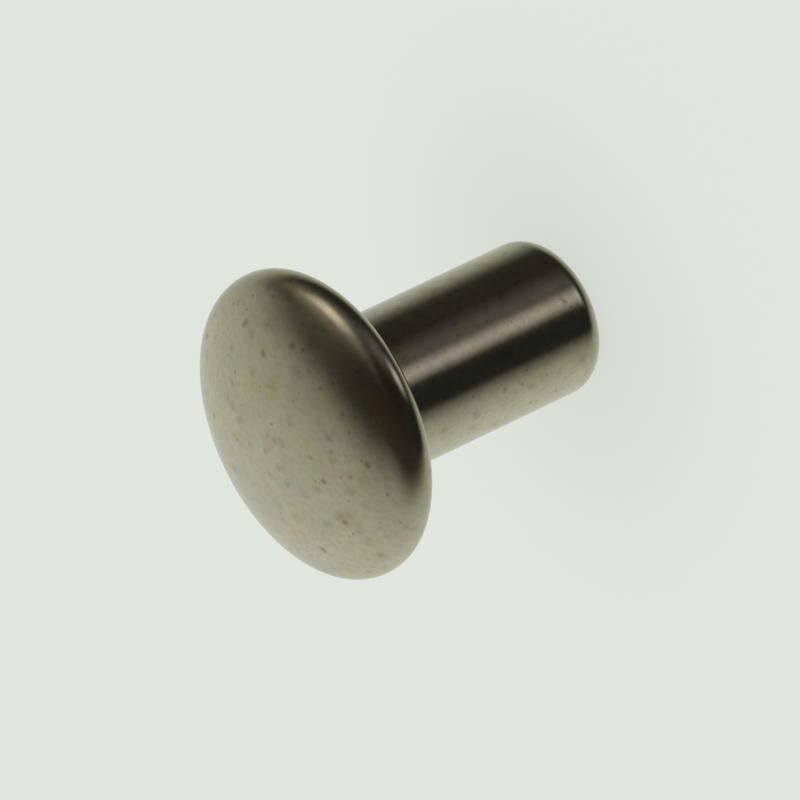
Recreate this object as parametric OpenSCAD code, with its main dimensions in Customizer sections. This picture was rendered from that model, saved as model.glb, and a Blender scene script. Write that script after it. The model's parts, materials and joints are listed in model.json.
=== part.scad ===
// Solid rivet with a mushroom head, cold headed from wire in one piece and nickel plated.
// It stands on the flat end of its shank. The origin is the centre of that end, and +Z runs up to the head.

/* [Shank] */
// Diameter of the straight shank
shank_d = 4; // [3:0.1:4.8]
// Length of the shank, from its end to the flat underside of the head
shank_length = 7.2; // [4:0.1:16]
// Radius that rounds the edge of the shank's end
end_edge_r = 0.6; // [0.2:0.05:1]
// Radius of the fillet where the shank meets the head
neck_r = 0.2; // [0.1:0.05:0.4]

/* [Head] */
// Diameter of the head at its rim
head_d = 8; // [7:0.1:10]
// Height of the head, from its flat underside to the top of the crown
head_height = 1.95; // [1.7:0.01:2.5]
// Height of the crown's arc over the rim's widest circle, if it ran on as far as the rim
crown_lift = 0.5; // [0.5:0.02:0.6]
// Radius of the flank, where the low crown steepens toward the shoulder
flank_r = 4.8; // [3.5:0.1:5]
// Radius of the shoulder, which turns the flank down into the rim
shoulder_r = 0.64; // [0.3:0.02:0.72]
// Radius that rounds the rim into the underside
rim_edge_r = 0.5; // [0.2:0.05:0.6]

/* [Hidden] */
$fn = 128;
shank_r = shank_d / 2;
head_r = head_d / 2;
top_z = shank_length + head_height;
// Height of the circle where the rim is widest, and the shoulder's centre at that height
rim_z = shank_length + rim_edge_r;
shoulder_x = head_r - shoulder_r;
// The crown's arc tops out at the head's height and would pass crown_lift above the rim
crown_drop = top_z - rim_z - crown_lift;
crown_r = (pow(head_r, 2) + pow(crown_drop, 2)) / (2 * crown_drop);
crown_z = top_z - crown_r;
// The flank's arc touches the crown's and the shoulder's from inside, so the three centres make a triangle
crown_to_flank = crown_r - flank_r;
flank_to_shoulder = flank_r - shoulder_r;
crown_to_shoulder = norm([shoulder_x, rim_z - crown_z]);
crown_corner = acos(
    (pow(crown_to_flank, 2) + pow(crown_to_shoulder, 2) - pow(flank_to_shoulder, 2))
    / (2 * crown_to_flank * crown_to_shoulder)
);
// Slope of the head where the crown runs into the flank, and where the flank runs into the shoulder
crown_slope = atan2(shoulder_x, rim_z - crown_z) - crown_corner;
flank_x = crown_to_flank * sin(crown_slope);
flank_z = crown_z + crown_to_flank * cos(crown_slope);
flank_slope = atan2(shoulder_x - flank_x, rim_z - flank_z);

// Quarter of a disc on the outer side of its centre: the upper one, or the lower one
module quarter_disc(radius, upper) {
    intersection() {
        circle(r = radius);
        translate([0, upper ? 0 : -radius])
            square(radius);
    }
}

// Half section of the shank: straight wall, rounded end edge and the fillet under the head
module shank_section() {
    translate([0, end_edge_r])
        square([shank_r, shank_length - end_edge_r]);
    square([shank_r - end_edge_r, end_edge_r]);
    translate([shank_r - end_edge_r, end_edge_r])
        quarter_disc(end_edge_r, upper = false);
    difference() {
        translate([shank_r, shank_length - neck_r])
            square(neck_r);
        translate([shank_r + neck_r, shank_length - neck_r])
            circle(r = neck_r);
    }
}

// Half section of the head below the rim's widest circle: flat underside and rounded edge
module rim_section() {
    translate([0, shank_length])
        square([head_r - rim_edge_r, rim_edge_r]);
    translate([head_r - rim_edge_r, rim_z])
        quarter_disc(rim_edge_r, upper = false);
}

// The part of a disc above the rim's widest circle, from the axis out to where the disc has a given slope
module cap_section(radius, centre, slope) {
    intersection() {
        translate(centre)
            circle(r = radius);
        translate([0, rim_z])
            square([centre[0] + radius * sin(slope), top_z - rim_z]);
    }
}

// Half section of the head above that circle: low crown, steeper flank and tight shoulder
module crown_section() {
    cap_section(crown_r, [0, crown_z], crown_slope);
    cap_section(flank_r, [flank_x, flank_z], flank_slope);
    translate([shoulder_x, rim_z])
        quarter_disc(shoulder_r, upper = true);
}

// The whole rivet, one solid of revolution
module rivet() {
    color("#c4bfae")
        rotate_extrude() {
            shank_section();
            rim_section();
            crown_section();
        }
}

rivet();
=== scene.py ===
# %% [markdown]
# # A nickel-plated rivet
#
# A solid rivet is headed cold from a length of wire and then plated in a barrel, tumbling with thousands
# of others. This lesson turns its outline into a fine mesh, presses in the marks of its making, gives it
# the look of bright nickel that has been handled, and lights it as in the photograph.
#
# The solid model comes first, because it fixes where the rivet stands and how large it is.

# %% Load the frame
import json
import math

import bpy
from mathutils import Matrix, Vector, kdtree, noise

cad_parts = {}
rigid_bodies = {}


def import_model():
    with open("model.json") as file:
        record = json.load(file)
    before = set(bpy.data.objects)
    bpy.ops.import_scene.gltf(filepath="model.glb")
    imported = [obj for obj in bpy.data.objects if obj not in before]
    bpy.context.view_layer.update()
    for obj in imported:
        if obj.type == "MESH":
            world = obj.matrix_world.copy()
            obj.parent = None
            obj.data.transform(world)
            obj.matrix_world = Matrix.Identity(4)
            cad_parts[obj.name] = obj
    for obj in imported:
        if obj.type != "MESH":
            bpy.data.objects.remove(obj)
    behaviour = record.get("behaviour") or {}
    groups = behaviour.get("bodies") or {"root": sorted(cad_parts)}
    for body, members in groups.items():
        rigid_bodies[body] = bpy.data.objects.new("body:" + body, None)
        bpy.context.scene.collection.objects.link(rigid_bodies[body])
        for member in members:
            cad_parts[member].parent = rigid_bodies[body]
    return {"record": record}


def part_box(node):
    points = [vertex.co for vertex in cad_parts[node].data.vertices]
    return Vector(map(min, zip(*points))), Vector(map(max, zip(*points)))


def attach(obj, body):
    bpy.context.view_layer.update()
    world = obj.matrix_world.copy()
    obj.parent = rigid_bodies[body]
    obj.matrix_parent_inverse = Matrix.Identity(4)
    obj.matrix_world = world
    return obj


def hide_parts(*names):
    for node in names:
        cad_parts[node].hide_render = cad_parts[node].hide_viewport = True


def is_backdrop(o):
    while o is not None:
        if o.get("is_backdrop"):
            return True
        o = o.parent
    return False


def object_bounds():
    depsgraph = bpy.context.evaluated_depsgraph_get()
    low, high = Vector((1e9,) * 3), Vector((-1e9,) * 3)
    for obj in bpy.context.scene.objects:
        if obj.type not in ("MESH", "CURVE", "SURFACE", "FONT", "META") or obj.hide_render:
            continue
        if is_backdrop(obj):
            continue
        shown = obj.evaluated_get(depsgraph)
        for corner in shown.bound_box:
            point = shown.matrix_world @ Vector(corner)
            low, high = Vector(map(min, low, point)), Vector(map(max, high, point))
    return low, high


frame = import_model()
cad_low, cad_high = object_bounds()
MM = 0.001
print("solid model:", [round(side / MM, 2) for side in cad_high - cad_low], "mm")

# %% [markdown]
# ## Sizes
#
# The main sizes could be written here once more, but two copies soon differ. So they are read from the
# solid model: the box gives the head's diameter and the height, and the record's mounts give the shank and
# the underside of the head. Only the radii of the rounded parts are written here, in millimetres.

# %% Main sizes of the rivet
mounts = {mount["name"]: mount for mount in frame["record"]["mounts"]}
shank_r = mounts["shank"]["dims"]["r_mm"] * MM
underside_z = mounts["head_underside"]["pos_m"][2]
node_low, node_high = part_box("rivet")
# The model's round parts come as flats, which makes its box a hair small, so this is rounded to 0.01 mm.
head_r = round((node_high.x - node_low.x) / 2 / MM, 2) * MM
top_z = node_high.z
print(f"head {2 * head_r / MM:.2f} mm, shank {2 * shank_r / MM:.2f} mm, height {top_z / MM:.2f} mm")

# %% [markdown]
# ## The three arcs of the head
#
# The heading die gives the head a low crown in the middle, a steeper flank round it, and a tight shoulder
# that turns down into the rim. One arc with a rounded edge would be simpler, but then the reflections sit
# in the wrong places. Arcs that touch without a kink have their centres on one line with the point where
# they meet, so the three centres make a triangle with known sides, and the law of cosines gives the slope
# at which each arc runs into the next.

# %% Crown, flank and shoulder
RIM_EDGE_R = 0.5 * MM
CROWN_LIFT = 0.5 * MM
FLANK_R = 4.8 * MM
SHOULDER_R = 0.64 * MM

rim_z = underside_z + RIM_EDGE_R
crown_drop = top_z - rim_z - CROWN_LIFT
crown_r = (head_r**2 + crown_drop**2) / (2 * crown_drop)
crown = Vector((0, top_z - crown_r))
shoulder = Vector((head_r - SHOULDER_R, rim_z))

to_flank = crown_r - FLANK_R
to_shoulder = (shoulder - crown).length
flank_to_shoulder = FLANK_R - SHOULDER_R
corner = math.acos((to_flank**2 + to_shoulder**2 - flank_to_shoulder**2) / (2 * to_flank * to_shoulder))
crown_slope = math.atan2(shoulder.x, shoulder.y - crown.y) - corner
flank = crown + to_flank * Vector((math.sin(crown_slope), math.cos(crown_slope)))
flank_slope = math.atan2(shoulder.x - flank.x, shoulder.y - flank.y)
crown_edge = crown_r * math.sin(crown_slope)
print(f"crown {crown_r / MM:.2f} mm, to {crown_edge / MM:.2f} mm from the axis")

# %% [markdown]
# ## The outline
#
# A headed rivet has the same section all round, so half of that section says everything about its
# shape. It is a chain of straight runs and true arcs, from the middle of the shank's end to the top of
# the crown. A Bezier curve could draw it too, but its arcs would only be nearly round. Short steps leave
# room for the marks that are pressed in later.

# %% Straight runs and arcs
ARC_STEP = 0.045 * MM
FEWEST_ARC_STEPS = 6


def run(start, end, step):
    """Points of a straight run, without its first one."""
    count = max(1, math.ceil((Vector(end) - Vector(start)).length / step))
    return [Vector(start).lerp(Vector(end), i / count) for i in range(1, count + 1)]


def arc(centre, radius, first, last):
    """Points of an arc, without its first one. Angles count from the outward side up to the top."""
    count = max(FEWEST_ARC_STEPS, math.ceil(abs(last - first) * radius / ARC_STEP))
    angles = [first + (last - first) * i / count for i in range(1, count + 1)]
    return [Vector(centre) + radius * Vector((math.cos(a), math.sin(a))) for a in angles]


print(f"arcs in steps of {ARC_STEP / MM:.3f} mm or less")

# %% Half section of the shank and the rim
END_EDGE_R = 0.6 * MM
NECK_R = 0.2 * MM
SHANK_STEP = 0.06 * MM
FLAT_STEP = 0.12 * MM
QUARTER = math.pi / 2

outline = [Vector((0, 0))]
outline += run((0, 0), (shank_r - END_EDGE_R, 0), FLAT_STEP)
outline += arc((shank_r - END_EDGE_R, END_EDGE_R), END_EDGE_R, -QUARTER, 0)
outline += run((shank_r, END_EDGE_R), (shank_r, underside_z - NECK_R), SHANK_STEP)
outline += arc((shank_r + NECK_R, underside_z - NECK_R), NECK_R, 2 * QUARTER, QUARTER)
outline += run((shank_r + NECK_R, underside_z), (head_r - RIM_EDGE_R, underside_z), FLAT_STEP)
outline += arc((head_r - RIM_EDGE_R, rim_z), RIM_EDGE_R, -QUARTER, 0)
print("outline up to the rim:", len(outline), "points")

# %% [markdown]
# ### Eased joints on the head
#
# Where two arcs of the head meet, the curve tightens all at once, and a mirror would show that as a crisp
# line. On the real rivet, tumbling has rubbed the line away. Smoothing the normals would hide it too, but
# only in the shading. So the directions of the chain are averaged over a short reach on either side, which
# moves no point by as much as a hundredth of a millimetre.

# %% Half section of the head
EASE_REACH = 0.18 * MM


def eased(points):
    """The same chain with its directions averaged over a short reach, and its two ends kept in place."""
    steps = [after - before for before, after in zip(points, points[1:])]
    laid = [points[0]]
    for i, step in enumerate(steps):
        side = min(round(EASE_REACH / ARC_STEP), i, len(steps) - 1 - i)
        near = [other.normalized() for other in steps[i - side:i + side + 1]]
        laid.append(laid[-1] + step.length * sum(near, Vector((0, 0))).normalized())
    missed = laid[-1] - points[-1]
    return [point - missed * i / len(steps) for i, point in enumerate(laid)]


rim_to_top = [outline.pop()]
rim_to_top += arc(shoulder, SHOULDER_R, 0, QUARTER - flank_slope)
rim_to_top += arc(flank, FLANK_R, QUARTER - flank_slope, QUARTER - crown_slope)
rim_to_top += arc(crown, crown_r, QUARTER - crown_slope, QUARTER)
outline += eased(rim_to_top)
print("outline:", len(outline), "points")

# %% [markdown]
# ## The body
#
# The outline is turned about the axis, as on a lathe. A Screw modifier would do it too, but a mesh that
# is written ring by ring is closed from the start, with no seam to weld, and its points can be moved at
# once.

# %% Turn the outline into the rivet's body
SIDES = 320


def turned_body(points):
    """The outline turned about the axis: a ring of corners for each point, and one corner at either end."""
    rings = points[1:-1]
    turns = [math.tau * side / SIDES for side in range(SIDES)]
    corners = [(p.x * math.cos(a), p.x * math.sin(a), p.y) for p in rings for a in turns]
    faces = []
    for ring in range(len(rings) - 1):
        low, high = ring * SIDES, (ring + 1) * SIDES
        for side in range(SIDES):
            after = (side + 1) % SIDES
            faces.append((low + side, low + after, high + after, high + side))
    foot, top = len(corners), len(corners) + 1
    corners += [(0, 0, points[0].y), (0, 0, points[-1].y)]
    last = (len(rings) - 1) * SIDES
    for side in range(SIDES):
        after = (side + 1) % SIDES
        faces.append((foot, after, side))
        faces.append((top, last + side, last + after))
    mesh = bpy.data.meshes.new("rivet_body")
    mesh.from_pydata(corners, [], faces)
    mesh.shade_smooth()
    made = bpy.data.objects.new("rivet_body", mesh)
    bpy.context.collection.objects.link(made)
    return made


body = turned_body(outline)
print("body:", len(body.data.polygons), "faces")

# %% [markdown]
# ## Pits
#
# Plating covers tiny flaws of the wire without filling them, so a handled rivet shows pits about a tenth
# of a millimetre wide. A bump in the material could stand for them, but it isn't there in the mesh. So the
# clearest ones are listed one by one, where the photograph has them: on the head by their distance from the
# axis and their turn about it, on the shank by their height and turn.

# %% Where the clearest pits lie
# Each pit: distance from the axis or height in millimetres, turn in degrees, width in millimetres.
DEEP_HEAD_PITS = (
    (2.9, 167, 0.15), (2.3, -25, 0.15), (3.0, -118, 0.15), (2.8, -46, 0.14), (1.75, -139, 0.12),
)
FAINT_HEAD_PITS = (
    (3.65, -165, 0.15), (0.35, 100, 0.14), (1.85, 38, 0.12), (2.5, -127, 0.11), (2.1, -102, 0.16),
    (2.05, -112, 0.14), (1.9, 21, 0.13), (1.8, -12, 0.15), (0.2, -70, 0.15), (1.35, -119, 0.12),
    (2.25, -129, 0.11), (2.55, 7, 0.13), (0.95, 73, 0.12), (3.15, 21, 0.14), (0.6, 168, 0.15),
)
RUSTY_HEAD_PITS = (
    (3.0, -10, 0.13), (2.95, -8, 0.11), (2.6, -160, 0.13), (3.5, 29, 0.14), (2.65, 62, 0.12),
)
FAINT_SHANK_PITS = ((3.4, -127, 0.14), (5.35, -137, 0.15), (3.0, -27, 0.13))
RUSTY_SHANK_PITS = ((1.0, -87, 0.11),)


def on_head(distance_mm, turn_deg):
    """Point of the head's top, from its distance to the axis and its turn about it."""
    distance = distance_mm * MM
    turn = math.radians(turn_deg)
    centre, radius = (crown, crown_r) if distance < crown_edge else (flank, FLANK_R)
    height = centre.y + math.sqrt(radius**2 - (distance - centre.x) ** 2)
    return Vector((distance * math.cos(turn), distance * math.sin(turn), height))


def on_shank(height_mm, turn_deg):
    """Point of the shank's wall, from its height and its turn about the axis."""
    turn = math.radians(turn_deg)
    return Vector((shank_r * math.cos(turn), shank_r * math.sin(turn), height_mm * MM))


def spots(place, rows):
    """Middle and width of each spot in a list, put in place by one of the two functions above."""
    return [(place(along, turn), width * MM) for along, turn, width in rows]


deep_pits = spots(on_head, DEEP_HEAD_PITS)
faint_pits = spots(on_head, FAINT_HEAD_PITS) + spots(on_shank, FAINT_SHANK_PITS)
rusty_pits = spots(on_head, RUSTY_HEAD_PITS) + spots(on_shank, RUSTY_SHANK_PITS)
print("pits:", len(deep_pits), "deep,", len(faint_pits), "faint,", len(rusty_pits), "rusty")

# %% [markdown]
# ## Slow waves, and dents for the pits
#
# Cold heading leaves the skin in slow waves of a few thousandths of a millimetre. Nobody sees the waves
# themselves, but they bend the edges of every reflection, and a metal without them looks too perfect. A
# Displace modifier could make the waves. Here the points are moved directly, because the pits need their
# own distances, and both are then there from any side. Everything is pressed inward.

# %% Press the waves and the pits into the body
WAVE_LENGTH = 1.5 * MM
WAVE_DEPTH = 0.005 * MM
# The solid model's box is a hair small, because its round parts are flats, so the whole skin lies deeper.
SKIN_DEPTH = 0.002 * MM
PIT_DEPTH_TO_WIDTH = 0.03


def press_marks(mesh):
    """Lowers the skin in slow waves and presses a round dent for each pit."""
    skin = [(point.co.copy(), point.normal.copy()) for point in mesh.vertices]
    tree = kdtree.KDTree(len(skin))
    for index, (place, outward) in enumerate(skin):
        tree.insert(place, index)
        swell = (1 + noise.noise(place / WAVE_LENGTH)) / 2
        mesh.vertices[index].co -= (SKIN_DEPTH + WAVE_DEPTH * swell) * outward
    tree.balance()
    for centre, width in deep_pits + faint_pits + rusty_pits:
        for _, index, distance in tree.find_range(centre, width / 2):
            share = (1 - (2 * distance / width) ** 2) ** 2
            mesh.vertices[index].co -= PIT_DEPTH_TO_WIDTH * width * share * skin[index][1]


press_marks(body.data)
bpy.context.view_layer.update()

# %% [markdown]
# ## Nickel plate
#
# Nickel is a warm white metal. Tumbled in the barrel it comes out bright but not mirror smooth, so it
# shows its surroundings with soft edges. Handling and damp then leave a faint yellow and rosy tarnish,
# a fine grain, and dark or rusty pits. A plain metal shader with one colour would look like a computer
# part, so colour, gloss and bump each follow patterns whose sizes are measured in millimetres.
#
# Two helpers come first. Colours are written as on a paint chart and turned to linear light, and one
# function adds any node, sets it and links it.

# %% Colours and nodes
NICKEL = "#D2C8B2"
# Sockets of a Mix node for colours: how far the upper colour covers, the two colours, and what comes out.
COVER, LOWER, UPPER, MIXED = 0, 6, 7, 2


def linear(hex_colour):
    """An sRGB hex colour as linear RGBA."""
    parts = [int(hex_colour[i:i + 2], 16) / 255 for i in (1, 3, 5)]
    return [c / 12.92 if c <= 0.04045 else ((c + 0.055) / 1.055) ** 2.4 for c in parts] + [1]


def add(tree, kind, sockets, **settings):
    """Adds a node, with its settings, and sets or links each of its sockets."""
    node = tree.nodes.new(kind)
    for name, value in settings.items():
        setattr(node, name, value)
    for key, value in sockets.items():
        if isinstance(value, bpy.types.NodeSocket):
            tree.links.new(value, node.inputs[key])
        else:
            node.inputs[key].default_value = value
    return node


print("bare nickel, linear:", [round(part, 2) for part in linear(NICKEL)[:3]])

# %% [markdown]
# ### Tarnish
#
# Damp and fingers leave faint patches on nickel: yellow, rosy and grey ones, and a fine mottling. They
# could be painted on an image, but an image has to be wrapped round the rivet and blurs from close up. A
# noise in space does neither. Each tint has a noise of its own, shifted so that no two lie alike.

# %% Tarnish
# Each tarnish: tint, width of its patches in millimetres, how far it covers the nickel.
TARNISH = (
    ("#C8C29B", 0.9, 0.5),
    ("#CEBBAB", 0.6, 0.4),
    ("#BBBCB2", 1.1, 0.38),
    ("#A39D8A", 0.16, 0.22),
)
TARNISH_FROM, TARNISH_TO = 0.4, 0.7
TARNISH_SHIFT = Vector((13, 7, 0)) * MM


def tarnished(tree, place, colour):
    """A colour with patches of each tarnish over it."""
    for number, (tint, width, cover) in enumerate(TARNISH):
        shifted = add(tree, "ShaderNodeVectorMath", {0: place, 1: number * TARNISH_SHIFT}, operation="ADD")
        cloud = add(
            tree, "ShaderNodeTexNoise", {"Vector": shifted.outputs["Vector"], "Scale": 1 / (width * MM)}
        )
        share = add(
            tree, "ShaderNodeMapRange",
            {
                "Value": cloud.outputs["Fac"],
                "From Min": TARNISH_FROM, "From Max": TARNISH_TO,
                "To Max": cover,
            },
            interpolation_type="SMOOTHSTEP",
        )
        layers = {COVER: share.outputs["Result"], LOWER: colour, UPPER: linear(tint)}
        colour = add(tree, "ShaderNodeMix", layers, data_type="RGBA").outputs[MIXED]
    return colour


print("tarnish:", len(TARNISH), "tints")

# %% [markdown]
# ### Stains
#
# Dirt and rust gather in a pit and spread a little round it, never in a clean circle, and a few larger
# stains have a tint of their own. Small painted patches would need an image each. Here a stain is the
# distance to its middle, faded out softly, and the place that it is measured from wanders a little, which
# makes every edge ragged in its own way.

# %% Stains
RAGGED_WIDTH = 0.12 * MM
RAGGED_SHIFT = 0.09 * MM
NOISE_MIDDLE = (0.5, 0.5, 0.5)
STAIN_TO_PIT = 2.2


def ragged_place(tree, place):
    """The place, shifted a little by a fine noise."""
    wander = add(tree, "ShaderNodeTexNoise", {"Vector": place, "Scale": 1 / RAGGED_WIDTH})
    centred = add(
        tree, "ShaderNodeVectorMath", {0: wander.outputs["Color"], 1: NOISE_MIDDLE}, operation="SUBTRACT"
    )
    shifted = add(
        tree, "ShaderNodeVectorMath", {0: centred.outputs["Vector"], 1: 3 * (RAGGED_SHIFT,), 2: place},
        operation="MULTIPLY_ADD",
    )
    return shifted.outputs["Vector"]


def stains(tree, place, middles, cover):
    """How far some stains cover the metal: most at the middle of each, nothing past its edge."""
    darkest = None
    for centre, width in middles:
        away = add(tree, "ShaderNodeVectorMath", {0: place, 1: centre}, operation="DISTANCE")
        reach = STAIN_TO_PIT * width / 2
        stain = add(
            tree, "ShaderNodeMapRange",
            {"Value": away.outputs["Value"], "From Max": reach, "To Min": cover, "To Max": 0},
            interpolation_type="SMOOTHSTEP",
        ).outputs["Result"]
        if darkest:
            stain = add(tree, "ShaderNodeMath", {0: darkest, 1: stain}, operation="MAXIMUM").outputs["Value"]
        darkest = stain
    return darkest


print(f"stains: {STAIN_TO_PIT} times as wide as their pits")

# %% Tinted stains
# Each tint, with the places of its stains on the head written as for the pits.
TINTED_HEAD_STAINS = {
    "#BFC08C": ((2.42, -24, 0.32), (1.48, -35, 0.42)),
    "#CBB08A": ((2.6, -157, 0.48), (2.56, 150, 0.36), (0.1, 30, 0.24)),
    "#CFB09C": ((2.04, -127, 0.22), (2.47, -127, 0.22), (3.68, -164, 0.24), (1.5, 72, 0.32)),
}
TINTED = 0.5


def tinted(tree, ragged, colour):
    """A colour with the larger stains over it, each in its own tint."""
    for tint, rows in TINTED_HEAD_STAINS.items():
        share = stains(tree, ragged, spots(on_head, rows), TINTED)
        layers = {COVER: share, LOWER: colour, UPPER: linear(tint)}
        colour = add(tree, "ShaderNodeMix", layers, data_type="RGBA").outputs[MIXED]
    return colour


print("tinted stains:", sum(len(rows) for rows in TINTED_HEAD_STAINS.values()))

# %% [markdown]
# ### Dirt, rust and specks
#
# The clear pits hold dirt or rust, and small specks lie all over the plate. Hundreds of specks are too
# many to place by hand, so a Voronoi pattern cuts the metal into cells with one speck in each. The size of
# a speck is left to its cell, and most come out too small to see.

# %% Dirt, rust and specks
PIT_DIRT = "#6A6552"
PIT_RUST = "#86634B"
DEEP, FAINT = 0.55, 0.32
# Each kind of speck: spacing and largest width in millimetres, how far it covers the nickel.
SPECKS = ((0.25, 0.19, 0.5), (0.45, 0.65, 0.24))
SPECK_RARITY = 2


def dirt(tree, ragged):
    """How far dirt covers the metal, in the pits and in the specks."""
    deep = stains(tree, ragged, deep_pits, DEEP)
    faint = stains(tree, ragged, faint_pits, FAINT)
    dark = add(tree, "ShaderNodeMath", {0: deep, 1: faint}, operation="MAXIMUM").outputs["Value"]
    for spacing, width, cover in SPECKS:
        cells = add(tree, "ShaderNodeTexVoronoi", {"Vector": ragged, "Scale": 1 / (spacing * MM)})
        chance = add(tree, "ShaderNodeSeparateColor", {"Color": cells.outputs["Color"]})
        rare = add(tree, "ShaderNodeMath", {0: chance.outputs["Red"], 1: SPECK_RARITY}, operation="POWER")
        largest = width / 2 / spacing
        reach = add(tree, "ShaderNodeMath", {0: rare.outputs["Value"], 1: largest}, operation="MULTIPLY")
        away = cells.outputs["Distance"]
        speck = add(
            tree, "ShaderNodeMapRange",
            {"Value": away, "From Max": reach.outputs["Value"], "To Min": cover, "To Max": 0},
            interpolation_type="SMOOTHSTEP",
        )
        both = {0: dark, 1: speck.outputs["Result"]}
        dark = add(tree, "ShaderNodeMath", both, operation="MAXIMUM").outputs["Value"]
    return dark


def dirty(tree, ragged, colour):
    """A colour with dirt over it, and rust in the rusty pits."""
    rust = stains(tree, ragged, rusty_pits, DEEP)
    for share, tint in ((dirt(tree, ragged), PIT_DIRT), (rust, PIT_RUST)):
        layers = {COVER: share, LOWER: colour, UPPER: linear(tint)}
        colour = add(tree, "ShaderNodeMix", layers, data_type="RGBA").outputs[MIXED]
    return colour


print("specks:", " and ".join(f"{spacing} mm" for spacing, _, _ in SPECKS), "apart")

# %% [markdown]
# ### Grain and gloss
#
# The tumbled surface has a fine grain, and the die leaves the crown duller than the rubbed rim and shank.
# One even roughness would be simpler, but it makes every reflection equally soft. Here the same grain
# drives the gloss and a very shallow bump, and the dullness rises from the rim to the top of the crown.

# %% Grain and gloss
GRAIN_WIDTH = 0.09 * MM
GRAIN_DEPTH = 0.0004 * MM
GRAIN_DETAIL, GRAIN_HARSHNESS = 3, 0.6
GRAIN_FROM, GRAIN_TO = 0.3, 0.7
SMOOTH, DULL = 0.11, 0.17
CROWN_DULLER = 0.06


def grain_and_gloss(tree, place):
    """Roughness and normal of the metal."""
    grain = add(
        tree, "ShaderNodeTexNoise",
        {"Vector": place, "Scale": 1 / GRAIN_WIDTH, "Detail": GRAIN_DETAIL, "Roughness": GRAIN_HARSHNESS},
    ).outputs["Fac"]
    grained = add(
        tree, "ShaderNodeMapRange",
        {"Value": grain, "From Min": GRAIN_FROM, "From Max": GRAIN_TO, "To Min": SMOOTH, "To Max": DULL},
    ).outputs["Result"]
    height = add(tree, "ShaderNodeSeparateXYZ", {"Vector": place}).outputs["Z"]
    duller = add(
        tree, "ShaderNodeMapRange",
        {"Value": height, "From Min": rim_z, "From Max": top_z, "To Max": CROWN_DULLER},
    ).outputs["Result"]
    gloss = add(tree, "ShaderNodeMath", {0: grained, 1: duller}, operation="ADD")
    relief = add(tree, "ShaderNodeBump", {"Height": grain, "Distance": GRAIN_DEPTH, "Strength": 1})
    return gloss.outputs["Value"], relief.outputs["Normal"]


print(f"grain: {GRAIN_WIDTH / MM:.2f} mm wide, {GRAIN_DEPTH / MM:.4f} mm deep")

# %% [markdown]
# ### The finished plate
#
# The layers go on in the order in which they came about on the real rivet: bare nickel, tarnish, stains,
# and dirt last. They could be separate shaders, but all of them lie on one metal skin, so they only change
# the colour of one metal shader.

# %% Nickel plate, barrel polished
# It gives the eye a warm grey mirror with soft edges, faintly clouded, with small dark and rusty specks.
def nickel_plate():
    """The metal of the whole rivet, with its layers in order."""
    material = bpy.data.materials.new("nickel plate, barrel polished")
    material.use_nodes = True
    tree = material.node_tree
    tree.nodes.clear()
    place = add(tree, "ShaderNodeTexCoord", {}).outputs["Object"]
    ragged = ragged_place(tree, place)
    colour = tarnished(tree, place, linear(NICKEL))
    colour = tinted(tree, ragged, colour)
    colour = dirty(tree, ragged, colour)
    gloss, normal = grain_and_gloss(tree, place)
    shader = add(
        tree, "ShaderNodeBsdfPrincipled",
        {"Base Color": colour, "Metallic": 1, "Roughness": gloss, "Normal": normal},
    )
    add(tree, "ShaderNodeOutputMaterial", {"Surface": shader.outputs["BSDF"]})
    return material


body.data.materials.append(nickel_plate())
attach(body, "root")
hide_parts("rivet")
print("material:", body.data.materials[0].name)

# %% [markdown]
# ## Floor
#
# A plain pale card. A matt plane under the lamps would do, but its shadow would be much darker than in
# the photograph. So most of the card's light is its own for the camera. Farther out all of it is, and the
# card runs into the background without a line, as a paper sweep does. Mirror rays pass the card by, so the
# metal shows the surround on every side.

# %% Pale card, matt
# It gives the eye an even pale ground with hardly any shadow on it.
FLOOR = "#E0E6DE"
OWN_LIGHT = 0.85
SHADOW_NEAR, SHADOW_FAR = 8 * MM, 80 * MM


def pale_card():
    """A matt card that gives most of its own light where the camera sees it."""
    material = bpy.data.materials.new("pale card, matt")
    material.use_nodes = True
    tree = material.node_tree
    tree.nodes.clear()
    place = add(tree, "ShaderNodeTexCoord", {}).outputs["Object"]
    away = add(tree, "ShaderNodeVectorMath", {0: place}, operation="LENGTH").outputs["Value"]
    own_share = add(
        tree, "ShaderNodeMapRange",
        {"Value": away, "From Min": SHADOW_NEAR, "From Max": SHADOW_FAR, "To Min": OWN_LIGHT},
        interpolation_type="SMOOTHSTEP",
    )
    path = add(tree, "ShaderNodeLightPath", {})
    seen = {0: path.outputs["Is Camera Ray"], 1: own_share.outputs["Result"]}
    share = add(tree, "ShaderNodeMath", seen, operation="MULTIPLY")
    matt = add(tree, "ShaderNodeBsdfDiffuse", {"Color": linear(FLOOR)})
    own = add(tree, "ShaderNodeEmission", {"Color": linear(FLOOR), "Strength": 1})
    both = add(
        tree, "ShaderNodeMixShader",
        {"Fac": share.outputs["Value"], 1: matt.outputs["BSDF"], 2: own.outputs["Emission"]},
    )
    add(tree, "ShaderNodeOutputMaterial", {"Surface": both.outputs["Shader"]})
    return material


print("card:", FLOOR)

# %% Floor
# In metres.
FLOOR_SIZE = 2.0


def pale_floor():
    """A wide plane of the card, which mirror rays pass by."""
    mesh = bpy.data.meshes.new("floor")
    half = FLOOR_SIZE / 2
    corners = [(-half, -half, 0), (half, -half, 0), (half, half, 0), (-half, half, 0)]
    mesh.from_pydata(corners, [], [(0, 1, 2, 3)])
    mesh.materials.append(pale_card())
    made = bpy.data.objects.new("floor", mesh)
    bpy.context.collection.objects.link(made)
    made.visible_glossy = False
    return made


floor = pale_floor()
floor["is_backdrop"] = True
print("floor:", FLOOR_SIZE, "m wide")

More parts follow.
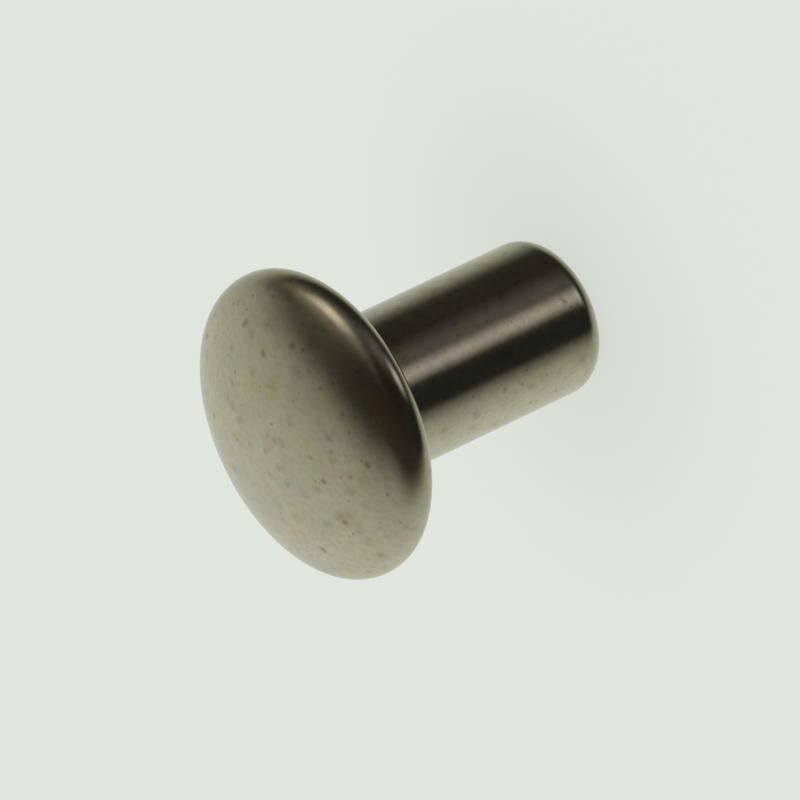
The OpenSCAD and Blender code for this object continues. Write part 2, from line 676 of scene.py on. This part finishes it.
# %% [markdown]
# ## Light
#
# A bright metal has hardly any colour of its own: what it shows is the room. Read backwards, the bands on
# the shank and the shading of the crown tell what stood around the rivet. A pale card lies on one side and
# a dark room on the other. In the room are a warm lamp with a glow round it, a narrow strip light, a grey
# screen, a dark curtain and a brown ceiling. Each could be a real card or lamp in the scene, but then its
# distance would have to be guessed too, so the world paints them by direction alone, with soft edges.

# %% What stands around the rivet
def toward(azimuth, elevation):
    """Unit vector from the rivet: azimuth 0 is the camera's side, 90 its right."""
    a = math.radians(azimuth)
    e = math.radians(elevation)
    return Vector((math.sin(a) * math.cos(e), -math.cos(a) * math.cos(e), math.sin(e)))


ROOM_SIDE = toward(26, 13)
ROOM_EDGE = (-0.34, 0.19)
CARD_FAR, CARD_NEAR = "#9FA496", "#D2D9D0"
ROOM_LOW, ROOM_HIGH = "#353733", "#272420"
# Middle and tilt in degrees, then for each way how far it is fully bright and where it has faded out.
PANELS = {
    "glow round the lamp": dict(
        middle=(70, 25.5), tilt=17, along=(11, 52), across=(0, 55), colour="#949282",
    ),
    "warm lamp": dict(middle=(69, 21.5), tilt=-33, along=(0, 27), across=(3, 23), colour="#F0EADA"),
    "grey screen": dict(middle=(28, -22), tilt=81, along=(4, 46), across=(0, 30), colour="#626061"),
    "dark curtain": dict(middle=(-33, -35), tilt=0, along=(9, 19), across=(10, 34), colour="#272A2B"),
    "brown ceiling": dict(middle=(-30, 80), tilt=0, along=(0, 24), across=(0, 24), colour="#382D24"),
    "strip light": dict(middle=(6, -41), tilt=0, along=(0, 15), across=(0, 21), colour="#D6D5D2"),
}
print("in the room:", ", ".join(PANELS))


# %% Panels with soft edges
def inside_panel(tree, look, middle, tilt, along, across):
    """How far a direction lies inside a panel with soft edges: 1 at its middle, 0 outside."""
    centre = toward(*middle)
    level = toward(middle[0] + 90, 0)
    turned = Matrix.Rotation(math.radians(tilt), 3, centre)
    ways = ((turned @ level, along), (turned @ level.cross(centre), across))
    front = add(tree, "ShaderNodeVectorMath", {0: look, 1: centre}, operation="DOT_PRODUCT")
    share = add(tree, "ShaderNodeMath", {0: front.outputs["Value"], 1: 0}, operation="GREATER_THAN")
    for way, (clear, faded) in ways:
        off = add(tree, "ShaderNodeVectorMath", {0: look, 1: way}, operation="DOT_PRODUCT")
        size = add(tree, "ShaderNodeMath", {0: off.outputs["Value"]}, operation="ABSOLUTE")
        edge = add(
            tree, "ShaderNodeMapRange",
            {
                "Value": size.outputs["Value"],
                "From Min": math.sin(math.radians(clear)), "From Max": math.sin(math.radians(faded)),
                "To Min": 1, "To Max": 0,
            },
            interpolation_type="SMOOTHSTEP",
        )
        both = {0: share.outputs["Value"], 1: edge.outputs["Result"]}
        share = add(tree, "ShaderNodeMath", both, operation="MULTIPLY")
    return share.outputs["Value"]


def with_panels(tree, look, colour):
    """The colour of a direction, with each panel laid over it in turn."""
    for panel in PANELS.values():
        shape = {key: value for key, value in panel.items() if key != "colour"}
        layers = {COVER: inside_panel(tree, look, **shape), LOWER: colour, UPPER: linear(panel["colour"])}
        colour = add(tree, "ShaderNodeMix", layers, data_type="RGBA").outputs[MIXED]
    return colour


print("panels:", len(PANELS))


# %% Surround
def card_and_room(tree, look):
    """The colour of a direction, from the pale card on one side to the dark room on the other."""
    side = add(tree, "ShaderNodeVectorMath", {0: look, 1: ROOM_SIDE}, operation="DOT_PRODUCT")
    ramps = {}
    for name, low, high in (("card", -1, 0), ("room", 0, 1), ("edge", *ROOM_EDGE)):
        ramp = add(
            tree, "ShaderNodeMapRange",
            {"Value": side.outputs["Value"], "From Min": low, "From Max": high},
            interpolation_type="SMOOTHSTEP",
        )
        ramps[name] = ramp.outputs["Result"]
    layers = {COVER: ramps["card"], LOWER: linear(CARD_NEAR), UPPER: linear(CARD_FAR)}
    card = add(tree, "ShaderNodeMix", layers, data_type="RGBA").outputs[MIXED]
    layers = {COVER: ramps["room"], LOWER: linear(ROOM_LOW), UPPER: linear(ROOM_HIGH)}
    room = add(tree, "ShaderNodeMix", layers, data_type="RGBA").outputs[MIXED]
    layers = {COVER: ramps["edge"], LOWER: card, UPPER: room}
    return add(tree, "ShaderNodeMix", layers, data_type="RGBA").outputs[MIXED]


def surround():
    """The world that the metal mirrors. The camera itself sees only the floor's colour."""
    world = bpy.data.worlds.new("surround")
    world.use_nodes = True
    tree = world.node_tree
    tree.nodes.clear()
    look = add(tree, "ShaderNodeTexCoord", {}).outputs["Generated"]
    colour = with_panels(tree, look, card_and_room(tree, look))
    path = add(tree, "ShaderNodeLightPath", {})
    layers = {COVER: path.outputs["Is Camera Ray"], LOWER: colour, UPPER: linear(FLOOR)}
    seen = add(tree, "ShaderNodeMix", layers, data_type="RGBA").outputs[MIXED]
    back = add(tree, "ShaderNodeBackground", {"Color": seen, "Strength": 1})
    add(tree, "ShaderNodeOutputWorld", {"Surface": back.outputs["Background"]})
    bpy.context.scene.world = world
    return tree


surround_tree = surround()
print("surround:", len(surround_tree.nodes), "nodes")

# %% [markdown]
# ### Lamp over the floor
#
# The surround alone would leave the card under the rivet a little dull, and a sun would draw a hard
# shadow. A wide soft box above it lifts the card and lays a faint shadow round the rivet's foot. The metal
# doesn't mirror this lamp, because the photograph shows no such spot.

# %% Lamp over the floor
# In metres, and the strength in watts.
LAMP_WIDTH = 0.3
LAMP_HEIGHT = 0.3
LAMP_WATTS = 0.85


def floor_lamp():
    """A round soft box over the rivet, which the metal doesn't mirror."""
    light = bpy.data.lights.new("soft box over the floor", "AREA")
    light.shape = "DISK"
    light.size = LAMP_WIDTH
    light.energy = LAMP_WATTS
    lamp = bpy.data.objects.new("soft box over the floor", light)
    lamp.location = (0, 0, LAMP_HEIGHT)
    lamp.visible_glossy = False
    bpy.context.collection.objects.link(lamp)


floor_lamp()
print("lamp:", LAMP_WATTS, "W")

# %% [markdown]
# ## Camera
#
# In the photograph the rivet lies on its side, and here it stands on its shank's end, because lying down
# it would roll. So the camera is turned instead: it looks at the rivet from the same side, and rolls until
# the axis runs across the picture as in the photograph. A long lens keeps the lines as parallel as they
# are there.

# %% Camera
# Found from the outline in the photograph: two angles, the scale, and where the middle of the head's
# underside lies. The camera stands this many metres away.
SIGHT_TO_AXIS = math.radians(56.72)
AXIS_RISE = math.radians(25.39)
FRAME_PIXELS = 800
PIXELS_PER_MM = 41.34
UNDERSIDE_PIXEL = Vector((332.2, 416.5))
CAMERA_DISTANCE = 0.54


def photo_camera():
    """A camera with the photograph's view of the rivet: the same side, roll and framing."""
    sight = Vector((0, math.sin(SIGHT_TO_AXIS), -math.cos(SIGHT_TO_AXIS)))
    level_right = Vector((1, 0, 0))
    level_up = level_right.cross(sight)
    roll = -(QUARTER + AXIS_RISE)
    right = math.cos(roll) * level_right + math.sin(roll) * level_up
    up = right.cross(sight)
    target = Vector((0, 0, underside_z))
    offset = (Vector((FRAME_PIXELS, FRAME_PIXELS)) / 2 - UNDERSIDE_PIXEL) / PIXELS_PER_MM * MM
    middle = target + offset.x * right - offset.y * up
    place = target - CAMERA_DISTANCE * sight
    forward = (middle - place).normalized()
    right = forward.cross(up).normalized()
    up = right.cross(forward)
    data = bpy.data.cameras.new("camera")
    data.lens = data.sensor_width * CAMERA_DISTANCE * PIXELS_PER_MM / (FRAME_PIXELS * MM)
    made = bpy.data.objects.new("camera", data)
    made.matrix_world = Matrix.LocRotScale(place, Matrix((right, up, -forward)).transposed(), None)
    bpy.context.collection.objects.link(made)
    bpy.context.scene.camera = made
    return made


camera = photo_camera()
print("lens:", round(camera.data.lens), "mm")

# %% [markdown]
# ## Finish
#
# The picture is shown without any film curve, so that a colour comes out as it is written. Last, the size
# of what was made is set beside the size of the solid model: the waves and pits only go inward, so the
# rivet must not have grown.

# %% Finish
bpy.context.scene.view_settings.view_transform = "Standard"
new_low, new_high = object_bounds()
grown = (new_high - new_low) - (cad_high - cad_low)
print("grown by", [round(side / MM, 4) for side in grown], "mm")
